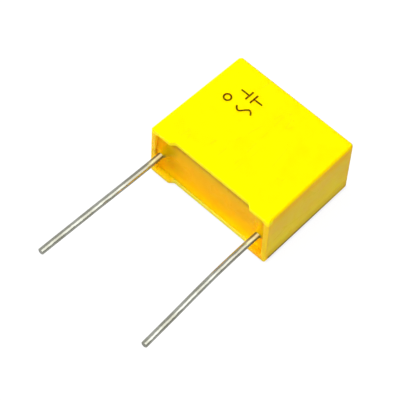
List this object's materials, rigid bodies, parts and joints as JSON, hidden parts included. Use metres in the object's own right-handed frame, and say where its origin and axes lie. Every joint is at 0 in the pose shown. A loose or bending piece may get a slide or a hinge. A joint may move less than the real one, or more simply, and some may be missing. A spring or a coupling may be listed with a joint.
{
  "type": "safety capacitor",
  "caption": "Radial film capacitor: a rectangular moulded box with corner feet, closed by potting resin, with wire leads for soldering into a board.",
  "frame": {"origin": "centre of the two-lead pattern on the seating plane, which the four corner feet make; half way through the thickness", "axes": "+X from the left lead to the right one; +Y from the seating plane to the closed end, so the leads leave towards -Y; +Z across the wide faces, up as the part lies on one of them"},
  "size_m": [0.018, 0.0331, 0.0086],
  "materials": {
    "case_plastic": "yellow moulded polyester, satin",
    "potting_resin": "orange cast resin, glossy with a meniscus",
    "metallised_film": "metallised polypropylene film edges",
    "blank_film": "clear polypropylene film",
    "sprayed_zinc": "rough sprayed metal",
    "tinned_wire": "tinned wire, satin",
    "print_ink": null
  },
  "bodies": {
    "root": {"case": "case_plastic", "potting_resin": "potting_resin", "film_winding": "metallised_film", "wrap_film": "blank_film", "sprayed_end_left": "sprayed_zinc", "sprayed_end_right": "sprayed_zinc", "lead_left": "tinned_wire", "lead_right": "tinned_wire"}
  },
  "joints": []
}
